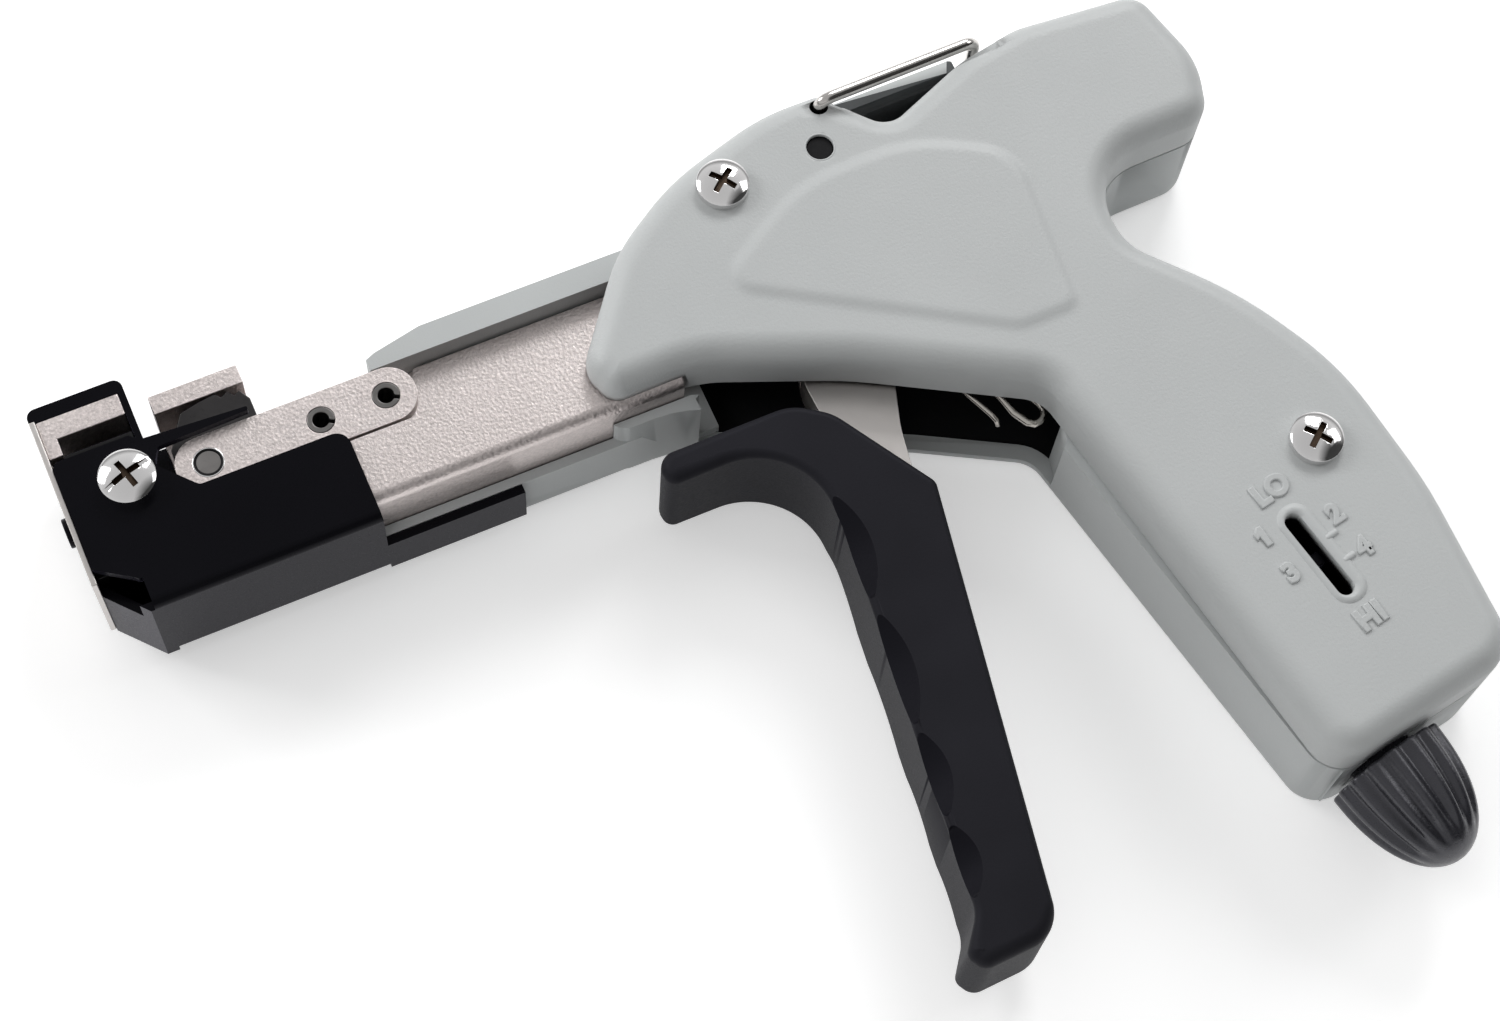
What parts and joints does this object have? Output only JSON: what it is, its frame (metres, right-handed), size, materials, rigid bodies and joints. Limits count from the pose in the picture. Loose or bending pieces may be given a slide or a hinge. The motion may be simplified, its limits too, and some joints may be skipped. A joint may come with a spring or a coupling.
{
  "type": "cable tie tensioning tool",
  "caption": "Pistol-grip cable tie tensioning tool with pull trigger, sliding gripper, strap cut-off, tension knob and wire hanging bail.",
  "frame": {"origin": "the trigger's pivot axis where it meets the far housing half's flat outer face", "axes": "+X from the nose to the heel along the barrel, +Y from the grip up to the hanging bail, +Z from the far face to the near cover"},
  "size_m": [0.1861, 0.1447, 0.0299],
  "materials": {
    "cast_paint": "textured",
    "black_plastic": "matte",
    "black_steel": "satin",
    "black_aluminium": "satin",
    "nickel_steel": "satin",
    "chrome_steel": "polished",
    "spring_steel": "satin",
    "tool_steel": "satin",
    "bronze": "satin"
  },
  "bodies": {
    "frame": {"far_housing": "cast_paint", "near_cover": "cast_paint", "housing_screws": "chrome_steel", "trigger_pivot_pin": "black_steel", "barrel_channel": "nickel_steel", "nose_channel": "black_steel", "nose_hood": "black_steel", "strap_anvil": "nickel_steel", "strap_floor": "black_steel", "front_plate": "nickel_steel", "nose_screw": "chrome_steel", "rocker_bush": "bronze", "nose_nut": "chrome_steel", "barrel_screws": "chrome_steel", "cutoff_lever_pin": "tool_steel", "trigger_spring": "spring_steel", "tension_spring": "spring_steel"},
    "trigger": {"trigger_lever": "nickel_steel", "trigger_grip": "black_plastic", "grip_pin": "tool_steel", "drive_pin": "tool_steel"},
    "carriage": {"pull_bar": "nickel_steel", "link_plate": "nickel_steel", "roll_pins": "tool_steel", "spacer_bushes": "tool_steel", "pawl_pin": "tool_steel", "gripper_block": "nickel_steel", "pawl_spring": "spring_steel"},
    "pawl": {"gripper_pawl": "tool_steel"},
    "cutoff": {"cutoff_lever": "black_steel", "spring_cup": "tool_steel"},
    "rod": {"cutoff_rod": "tool_steel"},
    "rocker": {"cutter_rocker": "tool_steel"},
    "blade": {"cutter_blade": "tool_steel", "blade_pin": "black_steel"},
    "knob": {"tension_knob": "black_plastic", "tension_screw": "tool_steel", "knob_collar": "tool_steel"},
    "nut": {"tension_nut": "black_aluminium"},
    "bail": {"hanging_bail": "spring_steel"}
  },
  "joints": [
    {"name": "trigger_pull", "type": "hinge", "parent": "frame", "child": "trigger", "pos_m": [0, 0, 0], "axis": [0, 0, 1], "range_deg": [0, 19], "stiffness_Nm_per_rad": 0.5, "springref_deg": -17.19, "deforming": ["trigger_spring"]},
    {"name": "gripper_slide", "type": "slide", "parent": "frame", "child": "carriage", "axis": [1, 0, 0], "range_m": [0, 0.004]},
    {"name": "pawl_tilt", "type": "hinge", "parent": "carriage", "child": "pawl", "pos_m": [-0.1024, -0.0106, 0.017], "axis": [0, 0, -1], "range_deg": [0, 12], "stiffness_Nm_per_rad": 0.02, "springref_deg": -17.19},
    {"name": "cutoff_tilt", "type": "hinge", "parent": "frame", "child": "cutoff", "pos_m": [0.04, -0.052, 0.01375], "axis": [0, 0, 1], "range_deg": [0, 8], "stiffness_Nm_per_rad": 5, "springref_deg": -5.73, "deforming": ["tension_spring"]},
    {"name": "rod_slide", "type": "slide", "parent": "frame", "child": "rod", "axis": [-1, 0, 0], "range_m": [0, 0.00435]},
    {"name": "rocker_tilt", "type": "hinge", "parent": "frame", "child": "rocker", "pos_m": [-0.114, -0.0097, 0.01375], "axis": [0, 0, -1], "range_deg": [0, 25]},
    {"name": "blade_lift", "type": "slide", "parent": "frame", "child": "blade", "axis": [0, 1, 0], "range_m": [0, 0.003]},
    {"name": "knob_turn", "type": "hinge", "parent": "frame", "child": "knob", "pos_m": [0.038, -0.117, 0.01375], "axis": [-0.1891, 0.982, 0], "range_deg": [-1440, 1440]},
    {"name": "nut_slide", "type": "slide", "parent": "frame", "child": "nut", "axis": [-0.1891, 0.982, 0], "range_m": [-0.005, 0.005]},
    {"name": "bail_swing", "type": "hinge", "parent": "frame", "child": "bail", "pos_m": [0.00274, 0.0068, 0.01375], "axis": [0, 0, 1], "range_deg": [0, 100]}
  ],
  "couplings": [
    {"joint": "gripper_slide", "follows": "trigger_pull", "m_per_rad": 0.012},
    {"joint": "rod_slide", "follows": "cutoff_tilt", "m_per_rad": 0.031},
    {"joint": "rocker_tilt", "follows": "cutoff_tilt", "ratio": 3.1},
    {"joint": "blade_lift", "follows": "cutoff_tilt", "m_per_rad": 0.021},
    {"joint": "nut_slide", "follows": "knob_turn", "m_per_rad": 0.00019894}
  ]
}
